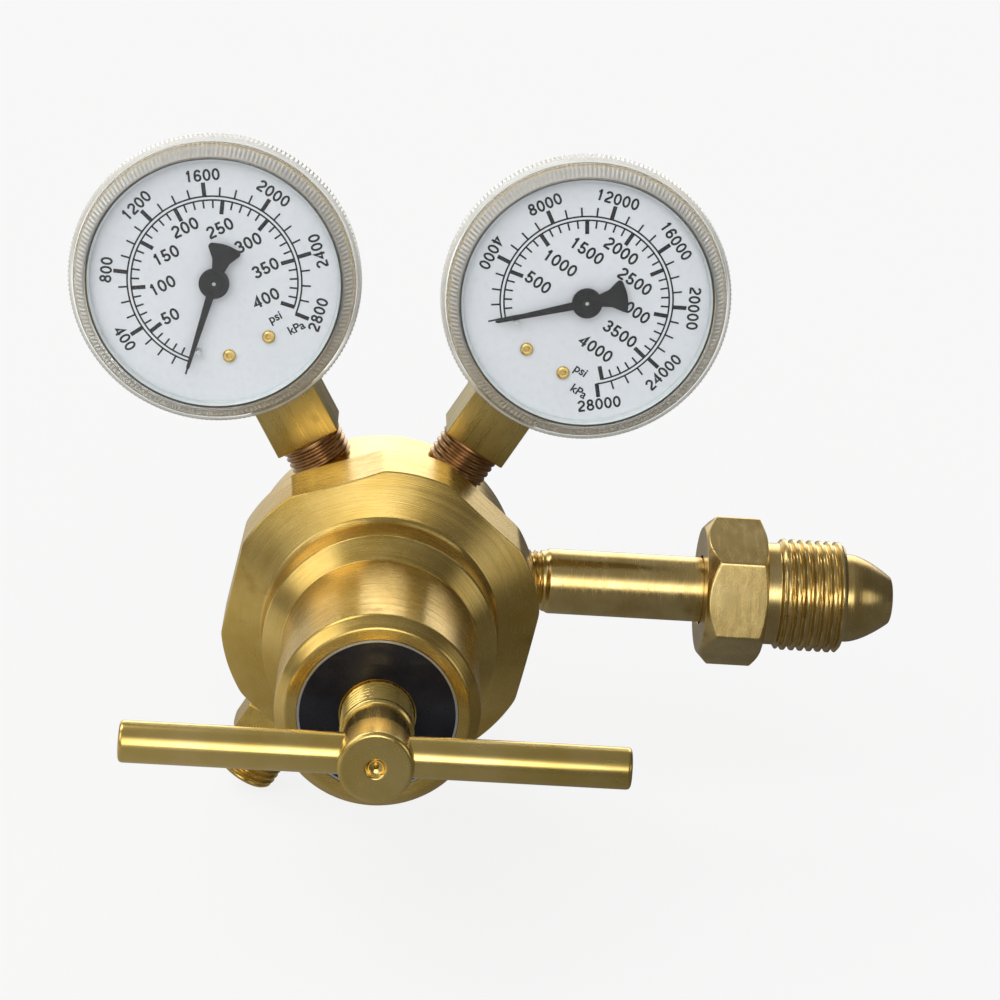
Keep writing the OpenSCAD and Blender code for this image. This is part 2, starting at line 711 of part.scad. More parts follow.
// Link: bar with two eyes, from the sector's pin to the tip of the tube
module link() {
  reach = tip_at - link_pin_at;
  angle = atan2(reach[1], reach[0]);
  link_back = 4.5;
  link_t = 0.6;
  link_w = 1;
  eye_r = 1.1;
  difference() {
    union() {
      for (at = [link_pin_at, tip_at]) rod_at(at, eye_r, link_back, link_back + link_t);
      translate([link_pin_at[0], link_pin_at[1], link_back]) rotate([0, 0, angle])
        translate([0, -link_w / 2, 0]) cube([norm(reach), link_w, link_t]);
    }
    for (at = [link_pin_at, tip_at]) rod_at(at, pin_r + 0.05, link_back - 1, link_back + link_t + 1);
  }
}

// Frame: two plates on pillars, screwed to the ledge of the block
module movement_frame() {
  pillars = [[4.8, 3.2], [-7.5, -10.6]];
  outline = [[-2.4, 3.4], [1, 5.2], [6.2, 5.2], [6.6, 2], [4, -6], [2.2, -11], [2.2, -18],
    [-2.2, -18], [-2.2, -12.5], [-8.9, -12.5], [-8.9, -9.4], [-3, -4]];
  difference() {
    union() {
      translate([0, 0, frame_back]) linear_extrude(frame_t) polygon(outline);
      translate([0, 0, frame_front]) linear_extrude(frame_t) polygon(outline);
    }
    rod(shaft_r + 0.05, frame_back - 1, frame_front + 2);
    rod_at(sector_at, arbor_r + 0.05, frame_back - 1, frame_front + 2);
    rod_at(frame_screw_at, frame_screw_r + 0.25, frame_back - 1, frame_front + 2);
  }
  for (at = pillars) rod_at(at, 1, frame_back + frame_t - eps, frame_front + eps);
  difference() {
    union() {
      rod_at(frame_screw_at, frame_screw_r, 0, frame_back + frame_t + eps);
      rod_at(frame_screw_at, 1.4, frame_back + frame_t, frame_back + frame_t + 0.9);
    }
    translate([-2, frame_screw_at[1] - 0.2, frame_back + frame_t + 0.5]) cube([4, 0.4, 1]);
  }
}

// Tube: flattened brass C with a brazed tip that carries the link's pin
module bourdon_tube() {
  rotate([0, 0, tube_start]) rotate_extrude(angle=tube_end - tube_start) translate([bourdon_r, 0])
    difference() {
      flat_oval(tube_thick, tube_flat);
      flat_oval(tube_thick - 1, tube_flat - 1);
    }
  rotate([0, 0, tip_angle]) translate([bourdon_r - 1.9, -1.6, -4.2]) cube([3.8, 3.2, 8.4]);
  rod_at(tip_at, pin_r, 4, 5.4);
}

module flat_oval(w, h) {
  square([w, h - w], center=true);
  for (side = [-1, 1]) translate([0, side * (h - w) / 2]) circle(d=w);
}

body();
bonnet();
label_ring();
slip_ring();
diaphragm();
diaphragm_plate();
adjusting_spring();
spring_button();
adjusting_screw();
t_bar();
valve_nozzle();
valve_seat();
poppet_cage();
poppet();
poppet_spring();
inlet_nipple();
inlet_filter();
inlet_nut();
outlet_fitting();
color(brass) gauge_low() gauge_socket(thread_show_low);  // gauge_socket_low
color(brass) gauge_low() gauge_case();  // gauge_case_low
color(clear) gauge_low() gauge_window();  // gauge_window_low
color(black) gauge_low() gauge_gasket();  // gauge_gasket_low
color(white) gauge_low() gauge_dial();  // gauge_dial_low
color(brass) gauge_low() dial_screws();  // dial_screws_low
color(steel) gauge_low() pointer_stop();  // pointer_stop_low
color(black) gauge_low() pointer();  // pointer_low
color(steel) gauge_low() pinion();  // pinion_low
color(brass) gauge_low() sector();  // sector_low
color(brass) gauge_low() link();  // link_low
color(brass) gauge_low() movement_frame();  // movement_frame_low
color(bronze) gauge_low() bourdon_tube();  // bourdon_tube_low
color(brass) gauge_high() gauge_socket(thread_show_high);  // gauge_socket_high
color(brass) gauge_high() gauge_case();  // gauge_case_high
color(clear) gauge_high() gauge_window();  // gauge_window_high
color(black) gauge_high() gauge_gasket();  // gauge_gasket_high
color(white) gauge_high() gauge_dial();  // gauge_dial_high
color(brass) gauge_high() dial_screws();  // dial_screws_high
color(steel) gauge_high() pointer_stop();  // pointer_stop_high
color(black) gauge_high() pointer();  // pointer_high
color(steel) gauge_high() pinion();  // pinion_high
color(brass) gauge_high() sector();  // sector_high
color(brass) gauge_high() link();  // link_high
color(brass) gauge_high() movement_frame();  // movement_frame_high
color(bronze) gauge_high() bourdon_tube();  // bourdon_tube_high
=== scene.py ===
import json
import math

import bmesh
import bpy
import numpy as np
from mathutils import Matrix, Vector


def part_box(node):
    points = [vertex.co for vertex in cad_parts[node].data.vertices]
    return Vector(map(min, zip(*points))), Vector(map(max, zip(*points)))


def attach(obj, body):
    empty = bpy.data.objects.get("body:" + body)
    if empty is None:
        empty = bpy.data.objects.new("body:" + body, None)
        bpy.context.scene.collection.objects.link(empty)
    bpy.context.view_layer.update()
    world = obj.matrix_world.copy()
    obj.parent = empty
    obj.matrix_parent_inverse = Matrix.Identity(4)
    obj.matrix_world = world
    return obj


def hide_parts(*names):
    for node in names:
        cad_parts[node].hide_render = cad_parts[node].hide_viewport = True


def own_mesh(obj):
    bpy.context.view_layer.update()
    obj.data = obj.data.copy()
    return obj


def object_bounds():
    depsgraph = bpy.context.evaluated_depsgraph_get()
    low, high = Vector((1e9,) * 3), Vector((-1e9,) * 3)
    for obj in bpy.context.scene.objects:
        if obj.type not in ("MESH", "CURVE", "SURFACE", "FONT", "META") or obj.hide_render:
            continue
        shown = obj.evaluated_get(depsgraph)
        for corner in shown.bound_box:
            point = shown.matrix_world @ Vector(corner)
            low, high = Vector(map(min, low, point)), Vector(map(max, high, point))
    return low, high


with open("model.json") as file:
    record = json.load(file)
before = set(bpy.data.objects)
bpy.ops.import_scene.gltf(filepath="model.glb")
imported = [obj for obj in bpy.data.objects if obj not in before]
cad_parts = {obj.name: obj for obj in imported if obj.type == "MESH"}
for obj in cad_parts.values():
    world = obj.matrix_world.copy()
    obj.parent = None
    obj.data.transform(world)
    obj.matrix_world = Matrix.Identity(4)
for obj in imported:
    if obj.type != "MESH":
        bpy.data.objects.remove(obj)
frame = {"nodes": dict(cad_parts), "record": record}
cad_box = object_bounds()
MM = 0.001

# Main dimensions in millimetres, as in part.scad
REACH = 102.9
BODY_R, BODY_BACK, BODY_FRONT, BODY_CHAMFER = 29.4, 12.0, 16.4, 5.8
HEX_R, CORNER_R, HEX_FRONT, HEX_CLOCK = 31.75, 33.3, 31.6, 19.5
CONE_FRONT, CONE_FOOT, COLLAR_R, FILLET, COLLAR_FRONT = 36.1, 24.8, 24.0, 1.6, 45.1
BARREL_BACK, BARREL_R, BARREL_EDGE, BONNET_END, FACE_R = 48.5, 20.0, 79.1, 81.2, 17.9
LABEL_R, LABEL_T = 15.5, 0.3
SCREW_R, SCREW_END, THREAD_FRONT, NECK_R, HEAD_BACK = 7.15, 106.5, 90.6, 6.5, 98.4
BAR_R, BAR_HALF = 3.95, 47.6
PORT_R, SHOW, TUBE_SHOW = 6.7, {"low": 5.5, "high": 6.4}, 6.4  # radius of the port threads, how far they show
TUBE_R, NOSE_R, NOSE_LEN, COLLAR_BACK = 7.13, 9.7, 9.4, 89.4
# Heights along the inlet's and the outlet's own axes, from the middle of the body
NUT = {"back": 70.2, "hex": 83.6, "thread": 86.8, "front": 101.3, "af": 28.6, "r": 12.25, "clock": 18.5}
OUTLET = {"back": 40.0, "hex": 48.0, "end": 56.6, "af": 16.0, "r": 7.15}
WINDOW_R, BLOCK_W, BLOCK_LEN = 30.4, 14.2, 30.8
ANGLE = {"inlet": 0.0, "low": 120.0, "high": 60.0, "outlet": 240.0}
DIAL_FRONT, ZERO, SWEEP = 13.6, 225.5, 270.0
PITCH, NUT_PITCH = 1.411, 1.97  # 18 per inch, and as the crests of the nut lie in the photo
GRIPS = 190  # teeth round a gauge cover
KEY, FILL, GLOW, WHITE = 1.5, 0.7, 0.835, 0.935  # two suns, the floor's glow, the world as the camera sees it

# Local frames: millimetre axes with +Z along the axis that a piece was turned about
AXIS = Matrix(((1, 0, 0, -REACH * MM), (0, 0, -1, 0), (0, 1, 0, 0), (0, 0, 0, 1)))


def radial(name):
    return AXIS @ Matrix.Rotation(math.radians(ANGLE[name]), 4, "Z") @ Matrix.Rotation(math.pi / 2, 4, "Y")


def gauge(name):
    """Frame at the middle of a dial; its print and pointer are turned in it by the angle of the stem."""
    lo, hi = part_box("gauge_dial_" + name)
    centre = AXIS.inverted() @ ((lo + hi) / 2)
    return AXIS @ Matrix.Translation((centre.x, centre.y, 0))


# ---- Meshes ----


def finish_piece(obj, body, replaces=(), sharp=35):
    for p in obj.data.polygons:
        p.use_smooth = True
    obj.data.set_sharp_from_angle(angle=math.radians(sharp))
    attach(obj, body)
    if replaces:
        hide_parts(*replaces)


def new_object(name, verts, faces, matrix, material):
    mesh = bpy.data.meshes.new(name)
    mesh.from_pydata([tuple(v) for v in verts], [], faces)
    bm = bmesh.new()
    bm.from_mesh(mesh)
    bmesh.ops.remove_doubles(bm, verts=bm.verts, dist=2e-6)
    bmesh.ops.recalc_face_normals(bm, faces=bm.faces)
    bm.to_mesh(mesh)
    bm.free()
    obj = bpy.data.objects.new(name, mesh)
    bpy.context.scene.collection.objects.link(obj)
    obj.matrix_world = matrix
    mesh.materials.append(material)
    return obj


def rounded(points, steps=3):
    """Corners given as (r, z, radius) become arcs."""
    out = []
    for i, p in enumerate(points):
        if len(p) == 2 or i in (0, len(points) - 1):
            out.append(p[:2])
            continue
        here = Vector(p[:2])
        a, b = Vector(points[i - 1][:2]) - here, Vector(points[i + 1][:2]) - here
        reach = min(p[2], a.length * 0.48, b.length * 0.48)
        start, end = here + a.normalized() * reach, here + b.normalized() * reach
        for k in range(steps + 1):
            t = k / steps
            q = start * (1 - t) ** 2 + here * 2 * t * (1 - t) + end * t * t
            out.append((q.x, q.y))
    return out


def refined(points, step):
    """Points are added so that none lie further apart than step."""
    out = [points[0]]
    for a, b in zip(points, points[1:]):
        n = max(1, math.ceil(math.dist(a, b) / step))
        out += [(a[0] + (b[0] - a[0]) * k / n, a[1] + (b[1] - a[1]) * k / n) for k in range(1, n + 1)]
    return out


def lathe(name, points, matrix, material, n=160, shape=None):
    """Turns a profile of (r, z); shape(r, z, theta) may change the radius."""
    theta = np.arange(n) * (2 * math.pi / n)
    pts = np.array(points, float)
    r = np.repeat(pts[:, 0:1], n, axis=1)
    z = np.repeat(pts[:, 1:2], n, axis=1)
    t = np.repeat(theta[None, :], len(pts), axis=0)
    if shape:
        r = shape(r, z, t)
    verts = np.stack([r * np.cos(t), r * np.sin(t), z], axis=-1).reshape(-1, 3) * MM
    faces = []
    for i in range(len(pts) - 1):
        for j in range(n):
            k = (j + 1) % n
            faces.append((i * n + j, i * n + k, (i + 1) * n + k, (i + 1) * n + j))
    return new_object(name, verts, faces, matrix, material)


def soft_min(a, b, k):
    return -k * np.logaddexp(-a / k, -b / k)


def hexed(af, clock, z0, z1, k=0.1):
    """Hexagon flats, af apart, cut between z0 and z1; k softens their edges."""
    def shape(r, z, t):
        a = np.mod(t - math.radians(clock), math.pi / 3) - math.pi / 6
        flat = af / 2 / np.cos(a)
        return np.where((z > z0 - 1e-6) & (z < z1 + 1e-6), soft_min(r, flat, k), r)
    return shape


def threaded(pitch, depth, z0, z1, fade=0.8, crest=0.1):
    """A thread cut into a plain radius between z0 and z1, with run-outs; crest is the flat share on top."""
    root = 0.16

    def shape(r, z, t):
        phase = np.mod(z / pitch - t / (2 * math.pi), 1)
        tri = np.clip((np.abs(phase - 0.5) * 2 - crest) / (1 - root - crest), 0, 1)
        a = np.clip((z - z0) / (fade * pitch), 0, 1)
        b = np.clip((z1 - z) / (fade * pitch), 0, 1)
        inside = (z >= z0) & (z <= z1)
        return np.where(inside, r - depth * tri * np.minimum(a, b), r)
    return shape


def both(*shapes):
    def shape(r, z, t):
        for s in shapes:
            r = s(r, z, t)
        return r
    return shape


# ---- Materials ----


def material(name):
    m = bpy.data.materials.new(name)
    m.use_nodes = True
    return m, m.node_tree, m.node_tree.nodes["Principled BSDF"]


def node(tree, kind, inputs=None, **settings):
    n = tree.nodes.new(kind)
    for k, v in settings.items():
        setattr(n, k, v)
    for k, v in (inputs or {}).items():
        if hasattr(v, "is_output"):
            tree.links.new(v, n.inputs[k])
        else:
            n.inputs[k].default_value = v
    return n


def maths(tree, operation, a, b=0.0):
    return node(tree, "ShaderNodeMath", {0: a, 1: b}, operation=operation).outputs[0]


def noise(tree, vector, scale, detail=2.0, rough=0.5):
    n = node(tree, "ShaderNodeTexNoise", {"Vector": vector, "Scale": scale, "Detail": detail, "Roughness": rough})
    return n.outputs["Fac"]


def spread(tree, value, low, high, to_low=0.0, to_high=1.0):
    n = node(tree, "ShaderNodeMapRange", {0: value, 1: low, 2: high, 3: to_low, 4: to_high}, clamp=True)
    return n.outputs[0]


def mixed(tree, factor, a, b):
    n = node(tree, "ShaderNodeMix", data_type="RGBA")
    for socket, value in ((0, factor), (6, a), (7, b)):
        if hasattr(value, "is_output"):
            tree.links.new(value, n.inputs[socket])
        else:
            n.inputs[socket].default_value = value
    return n.outputs[2]


def place(tree):
    return node(tree, "ShaderNodeTexCoord").outputs["Object"]


def turned_vector(tree, across, along):
    """Coordinates in which noise becomes rings: fast along radius and axis, slow round the part."""
    parts = node(tree, "ShaderNodeSeparateXYZ", {0: place(tree)})
    x, y, z = parts.outputs
    r = maths(tree, "SQRT", maths(tree, "ADD", maths(tree, "MULTIPLY", x, x), maths(tree, "MULTIPLY", y, y)))
    u = maths(tree, "ADD", maths(tree, "MULTIPLY", r, across), maths(tree, "MULTIPLY", x, along))
    v = maths(tree, "ADD", maths(tree, "MULTIPLY", z, across), maths(tree, "MULTIPLY", y, along))
    w = maths(tree, "MULTIPLY", maths(tree, "ADD", x, y), along)
    return node(tree, "ShaderNodeCombineXYZ", {0: u, 1: v, 2: w}).outputs[0]


def stretched_vector(tree, scale):
    return node(tree, "ShaderNodeMapping", {"Vector": place(tree), "Scale": scale}).outputs[0]


def brass(name, light, dark, tarnish, roughness, marks="rings", depth=0.25, fine=5200, patches=70, anisotropy=0.0):
    """Metal with tool marks (rings, drawn or even), cloudy patches and spots of tarnish."""
    m, t, b = material(name)
    b.inputs["Metallic"].default_value = 1.0
    if anisotropy:
        b.inputs["Anisotropic"].default_value = anisotropy
        b.inputs["Anisotropic Rotation"].default_value = 0.25
        tangent = node(t, "ShaderNodeTangent", direction_type="RADIAL", axis="Z")
        t.links.new(tangent.outputs[0], b.inputs["Tangent"])
    if marks == "rings":
        vector = turned_vector(t, 1.0, 0.02)
    elif marks == "drawn":
        vector = stretched_vector(t, (1.0, 1.0, 0.02))
    else:
        vector = stretched_vector(t, (1.0, 1.0, 1.0))
    lines = noise(t, vector, fine, 3.0, 0.6)
    broad = noise(t, vector, fine * 0.16, 2.0)
    cloud = noise(t, place(t), patches, 3.0, 0.55)
    stain = noise(t, stretched_vector(t, (1.0, 1.0, 0.6)), patches * 2.6, 4.0, 0.6)
    base = mixed(t, spread(t, cloud, 0.35, 0.65), (*light, 1), (*dark, 1))
    base = mixed(t, spread(t, stain, 0.62, 0.78, 0.0, 0.55), base, (*tarnish, 1))
    base = mixed(t, spread(t, lines, 0.3, 0.7, 0.0, 0.22), base, (*dark, 1))
    t.links.new(base, b.inputs["Base Color"])
    rough = maths(t, "ADD", spread(t, lines, 0.3, 0.7, roughness * 0.82, roughness * 1.18),
                  spread(t, broad, 0.35, 0.7, -0.03, 0.05))
    t.links.new(maths(t, "ADD", rough, spread(t, stain, 0.6, 0.8, 0.0, 0.12)), b.inputs["Roughness"])
    height = maths(t, "ADD", maths(t, "MULTIPLY", lines, 0.5), maths(t, "MULTIPLY", broad, 0.5))
    bump = node(t, "ShaderNodeBump", {"Height": height, "Strength": depth, "Distance": 0.00006})
    t.links.new(bump.outputs[0], b.inputs["Normal"])
    return m


def plain(name, light, dark, roughness, scale=400, metallic=0.0, bump_depth=0.1, coat=0.0, specular=0.5):
    """Two shades in a broad cloud, with a fine grain in gloss and surface."""
    m, t, b = material(name)
    b.inputs["Metallic"].default_value = metallic
    b.inputs["Specular IOR Level"].default_value = specular
    if coat:
        b.inputs["Coat Weight"].default_value = coat
        b.inputs["Coat Roughness"].default_value = 0.08
    grain = noise(t, place(t), scale * 8, 3.0, 0.6)
    cloud = noise(t, place(t), scale * 0.4, 2.0)
    base = mixed(t, spread(t, cloud, 0.35, 0.65), (*light, 1), (*dark, 1))
    t.links.new(base, b.inputs["Base Color"])
    t.links.new(spread(t, grain, 0.3, 0.7, roughness * 0.85, roughness * 1.15), b.inputs["Roughness"])
    bump = node(t, "ShaderNodeBump", {"Height": grain, "Strength": bump_depth, "Distance": 0.00005})
    t.links.new(bump.outputs[0], b.inputs["Normal"])
    return m


def clear_cover():
    """Clear moulded plastic, slightly greyed and frosted where it is knurled."""
    m, t, b = material("clear_plastic")
    b.inputs["Transmission Weight"].default_value = 1.0
    b.inputs["IOR"].default_value = 1.46
    parts = node(t, "ShaderNodeSeparateXYZ", {0: place(t)})
    x, y, z = parts.outputs
    r = maths(t, "SQRT", maths(t, "ADD", maths(t, "MULTIPLY", x, x), maths(t, "MULTIPLY", y, y)))
    speck = noise(t, place(t), 900, 3.0)
    rim = spread(t, r, (WINDOW_R - 4.0) * MM, (WINDOW_R - 3.6) * MM)
    skirt = spread(t, r, (WINDOW_R - 1.5) * MM, (WINDOW_R - 1.0) * MM)
    tint = mixed(t, rim, (0.97, 0.98, 0.98, 1), (0.86, 0.86, 0.83, 1))
    t.links.new(mixed(t, spread(t, speck, 0.5, 0.75, 0.0, 0.2), tint, (0.72, 0.71, 0.68, 1)), b.inputs["Base Color"])
    t.links.new(maths(t, "ADD", spread(t, rim, 0.0, 1.0, 0.015, 0.14), spread(t, speck, 0.5, 0.8, 0.0, 0.03)),
                b.inputs["Roughness"])
    frosted = node(t, "ShaderNodeBsdfPrincipled", {"Roughness": 0.3})
    t.links.new(mixed(t, speck, (0.56, 0.56, 0.53, 1), (0.76, 0.76, 0.73, 1)), frosted.inputs["Base Color"])
    ridge = maths(t, "MULTIPLY", spread(t, r, (WINDOW_R - 2.0) * MM, (WINDOW_R - 1.7) * MM),
                  spread(t, r, (WINDOW_R - 0.75) * MM, (WINDOW_R - 1.0) * MM))
    grey = maths(t, "ADD", maths(t, "MULTIPLY", rim, 0.34), maths(t, "MULTIPLY", skirt, 0.36))
    grey = maths(t, "MULTIPLY", grey, maths(t, "SUBTRACT", 1.0, maths(t, "MULTIPLY", ridge, 0.85)))
    body = node(t, "ShaderNodeMixShader", {0: grey, 1: b.outputs[0], 2: frosted.outputs[0]})
    clear = node(t, "ShaderNodeBsdfTransparent", {0: (0.96, 0.97, 0.97, 1)})
    path = node(t, "ShaderNodeLightPath")
    mix = node(t, "ShaderNodeMixShader", {0: path.outputs["Is Shadow Ray"], 1: body.outputs[0], 2: clear.outputs[0]})
    t.links.new(mix.outputs[0], t.nodes["Material Output"].inputs["Surface"])
    return m


# Light and dark metal, tarnish and roughness, then what differs from the defaults of brass()
BRASS = {
    "brass_turned": ((0.84, 0.61, 0.21), (0.67, 0.45, 0.11), (0.44, 0.26, 0.07), 0.25,
                     {"depth": 0.6, "anisotropy": 0.6}),
    "brass_polished": ((0.80, 0.55, 0.15), (0.66, 0.46, 0.10), (0.45, 0.27, 0.06), 0.17,
                       {"depth": 0.15, "patches": 55}),
    "brass_handle": ((0.86, 0.65, 0.25), (0.72, 0.52, 0.14), (0.50, 0.32, 0.07), 0.22,
                     {"marks": "drawn", "depth": 0.2, "fine": 3600}),
    "brass_inlet": ((0.86, 0.66, 0.29), (0.66, 0.47, 0.17), (0.30, 0.15, 0.05), 0.23,
                    {"depth": 0.35, "patches": 110}),
    "brass_block": ((0.63, 0.51, 0.21), (0.55, 0.43, 0.16), (0.42, 0.28, 0.08), 0.30,
                    {"marks": "drawn", "depth": 0.2, "fine": 4200, "patches": 90}),
    "brass_case": ((0.84, 0.64, 0.26), (0.74, 0.53, 0.18), (0.5, 0.32, 0.09), 0.22,
                   {"marks": "even", "depth": 0.1, "fine": 2400}),
    "brass_screw": ((0.70, 0.52, 0.18), (0.50, 0.34, 0.10), (0.4, 0.24, 0.07), 0.18,
                    {"marks": "even", "depth": 0.1, "fine": 2400}),
    "brass_plain": ((0.76, 0.53, 0.15), (0.62, 0.42, 0.10), (0.40, 0.23, 0.06), 0.28,
                    {"marks": "even", "depth": 0.15, "fine": 2400}),
    "tube_bronze": ((0.60, 0.36, 0.15), (0.48, 0.27, 0.10), (0.30, 0.15, 0.06), 0.4,
                    {"marks": "even", "depth": 0.2, "fine": 2000}),
    "sintered_bronze": ((0.50, 0.31, 0.12), (0.38, 0.21, 0.08), (0.2, 0.1, 0.04), 0.6,
                        {"marks": "even", "depth": 1.0, "fine": 1500}),
}
# Two shades and roughness, then what differs from the defaults of plain()
PLAIN = {
    "spring_steel": ((0.60, 0.60, 0.61), (0.48, 0.48, 0.49), 0.3, {"metallic": 1.0}),
    "label_black": ((0.005, 0.005, 0.007), (0.011, 0.011, 0.014), 0.3, {"coat": 0.15, "specular": 0.25}),
    "rubber_black": ((0.012, 0.012, 0.012), (0.025, 0.025, 0.026), 0.6, {}),
    "seat_plastic": ((0.86, 0.86, 0.82), (0.80, 0.80, 0.76), 0.4, {}),
    "dial_white": ((0.665, 0.68, 0.715), (0.64, 0.66, 0.695), 0.42, {"scale": 120, "bump_depth": 0.03}),
    "pointer_black": ((0.007, 0.007, 0.008), (0.013, 0.013, 0.014), 0.5, {"specular": 0.12}),
}
MATERIALS = {}
for name, (light, dark, tarnish, roughness, rest) in BRASS.items():
    MATERIALS[name] = brass(name, light, dark, tarnish, roughness, **rest)
for name, (light, dark, roughness, rest) in PLAIN.items():
    MATERIALS[name] = plain(name, light, dark, roughness, **rest)
MATERIALS["clear_plastic"] = clear_cover()
# Finishes of details that are no slot of the record
BAND = plain("gauge_band", (0.50, 0.54, 0.54), (0.62, 0.66, 0.66), 0.35, scale=60)
BORDER = plain("label_border", (0.75, 0.76, 0.78), (0.62, 0.63, 0.66), 0.3, metallic=1.0)
NECK = brass("brass_neck", (0.50, 0.30, 0.14), (0.28, 0.16, 0.08), (0.12, 0.07, 0.04), 0.3, depth=0.4, patches=260)

for part in frame["record"]["subparts"]:
    obj = frame["nodes"][part["node"]]
    for s in obj.material_slots:
        s.material = MATERIALS[part["material_slot"]]

# ---- Body and bonnet ----
body_profile = refined(rounded([
    (0, -BODY_BACK), (BODY_R - BODY_CHAMFER, -BODY_BACK, 0.4), (BODY_R, -BODY_BACK + BODY_CHAMFER, 0.4),
    (BODY_R, BODY_FRONT, 0.3), (26, BODY_FRONT), (0, BODY_FRONT),
]), 0.6)
body_metal = lathe("body_metal", body_profile, AXIS, MATERIALS["brass_polished"], 240)
finish_piece(body_metal, "regulator", ["body"], 20)

bonnet_profile = rounded([
    (27.05, BODY_FRONT), (CORNER_R, BODY_FRONT, 0.5), (CORNER_R, HEX_FRONT, 0.25), (CONE_FOOT, CONE_FRONT, 0.1),
    (COLLAR_R + 0.45, CONE_FRONT + 0.5, 0.3), (COLLAR_R, CONE_FRONT + FILLET, 0.6), (COLLAR_R, COLLAR_FRONT, 0.35),
    (BARREL_R, BARREL_BACK, 0.3), (BARREL_R, BARREL_EDGE, 0.5), (FACE_R, BONNET_END, 0.4),
    (LABEL_R + 0.1, BONNET_END, 0.12), (LABEL_R + 0.1, BONNET_END - LABEL_T), (7.25, BONNET_END - LABEL_T),
    (7.25, BONNET_END - 9),
])
bonnet_metal = lathe("bonnet_metal", refined(bonnet_profile, 0.14), AXIS, MATERIALS["brass_turned"], 600,
                     hexed(2 * HEX_R, HEX_CLOCK, BODY_FRONT, CONE_FRONT))
finish_piece(bonnet_metal, "regulator", ["bonnet"], 24)

border = lathe("label_border", rounded([
    (LABEL_R - 0.45, BONNET_END - 0.02), (LABEL_R - 0.45, BONNET_END + 0.04, 0.02), (LABEL_R, BONNET_END + 0.04, 0.02),
    (LABEL_R, BONNET_END - 0.02),
]), AXIS, BORDER, 160)
finish_piece(border, "regulator")

# ---- Adjusting screw and handle bar ----
SCREW_BACK = BONNET_END - 8  # stays in the bonnet when the screw is turned out
screw_metal = lathe("screw_metal", refined(rounded([
    (SCREW_R, SCREW_BACK), (SCREW_R, THREAD_FRONT, 0.5), (NECK_R, THREAD_FRONT + 0.4, 0.1),
    (NECK_R, HEAD_BACK - 0.1, 0.1), (SCREW_R, HEAD_BACK + 0.3, 0.2),
    (SCREW_R, SCREW_END - 0.5, 0.3), (SCREW_R - 0.6, SCREW_END, 0.3),
    (2.0, SCREW_END, 0.25), (1.35, SCREW_END - 0.9, 0.2), (0.55, SCREW_END - 1.25, 0.1), (0.35, SCREW_END - 0.9, 0.1),
    (0.2, SCREW_END - 1.9), (0, SCREW_END - 2.2),
]), 0.12), AXIS, MATERIALS["brass_handle"], 128, threaded(PITCH, 0.5, SCREW_BACK, THREAD_FRONT - 0.3))
finish_piece(screw_metal, "handle", ["adjusting_screw"], 40)

lo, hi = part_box("t_bar")
BAR = Matrix.Translation((lo + hi) / 2) @ Matrix.Rotation(math.pi / 2, 4, "Y")
bar_metal = lathe("bar_metal", rounded([
    (0, -BAR_HALF), (BAR_R, -BAR_HALF, 0.9), (BAR_R, BAR_HALF, 0.9), (0, BAR_HALF),
], 5), BAR, MATERIALS["brass_handle"], 96)
finish_piece(bar_metal, "handle", ["t_bar"])

# ---- Inlet ----
INLET = radial("inlet")
nose = [(NOSE_R * (1 - 0.48 * (k / 10) ** 1.55), REACH + NOSE_LEN * k / 10) for k in range(10)]
tip = REACH + NOSE_LEN
tube_profile = [
    (PORT_R, BODY_R - 2), (PORT_R, BODY_R + TUBE_SHOW), (TUBE_R, BODY_R + TUBE_SHOW + 0.8, 0.3),
    (TUBE_R, COLLAR_BACK - 1), (NOSE_R, COLLAR_BACK, 0.2), (NOSE_R, REACH),
    *nose, (NOSE_R * 0.52, tip, 0.5), (2.2, tip, 0.2), (2.2, tip - 6),
]
tube_metal = lathe("tube_metal", refined(rounded(tube_profile, 4), 0.25), INLET, MATERIALS["brass_inlet"], 128,
                   threaded(PITCH, 0.7, BODY_R - 2, BODY_R + TUBE_SHOW - 0.2))
tube_metal.data.materials.append(NECK)
dark_end = BODY_R + 3.0  # the thread is darker next to the body
for p in tube_metal.data.polygons:
    if p.center.z < dark_end * MM:
        p.material_index = 1
finish_piece(tube_metal, "regulator", ["inlet_nipple"], 45)

flat, corner = NUT["af"] / 2, NUT["af"] / 2 / math.cos(math.pi / 6)
nut_metal = lathe("nut_metal", refined(rounded([
    (TUBE_R + 0.45, NUT["back"] + 10), (TUBE_R + 0.45, NUT["back"], 0.2), (flat - 0.5, NUT["back"], 0.2),
    (corner + 0.1, NUT["back"] + 2.7, 0.2), (corner + 0.1, NUT["hex"] - 1.4, 0.2), (flat - 0.5, NUT["hex"], 0.2),
    (NUT["r"] - 1.05, NUT["hex"], 0.3), (NUT["r"] - 1.05, NUT["thread"], 0.2), (NUT["r"], NUT["thread"] + 0.7, 0.2),
    (NUT["r"], NUT["front"] - 0.8, 0.2), (NUT["r"] - 0.9, NUT["front"], 0.2), (NOSE_R + 0.15, NUT["front"], 0.1),
    (NOSE_R + 0.15, NUT["front"] - 8),
]), 0.15), INLET, MATERIALS["brass_inlet"], 360, both(
    hexed(NUT["af"], NUT["clock"], NUT["back"] + 0.05, NUT["hex"] - 0.05, 0.08),
    threaded(NUT_PITCH, 0.8, NUT["thread"] + 0.2, NUT["front"] - 0.1, 0.6, 0.3)))
finish_piece(nut_metal, "inlet_nut", ["inlet_nut"], 30)

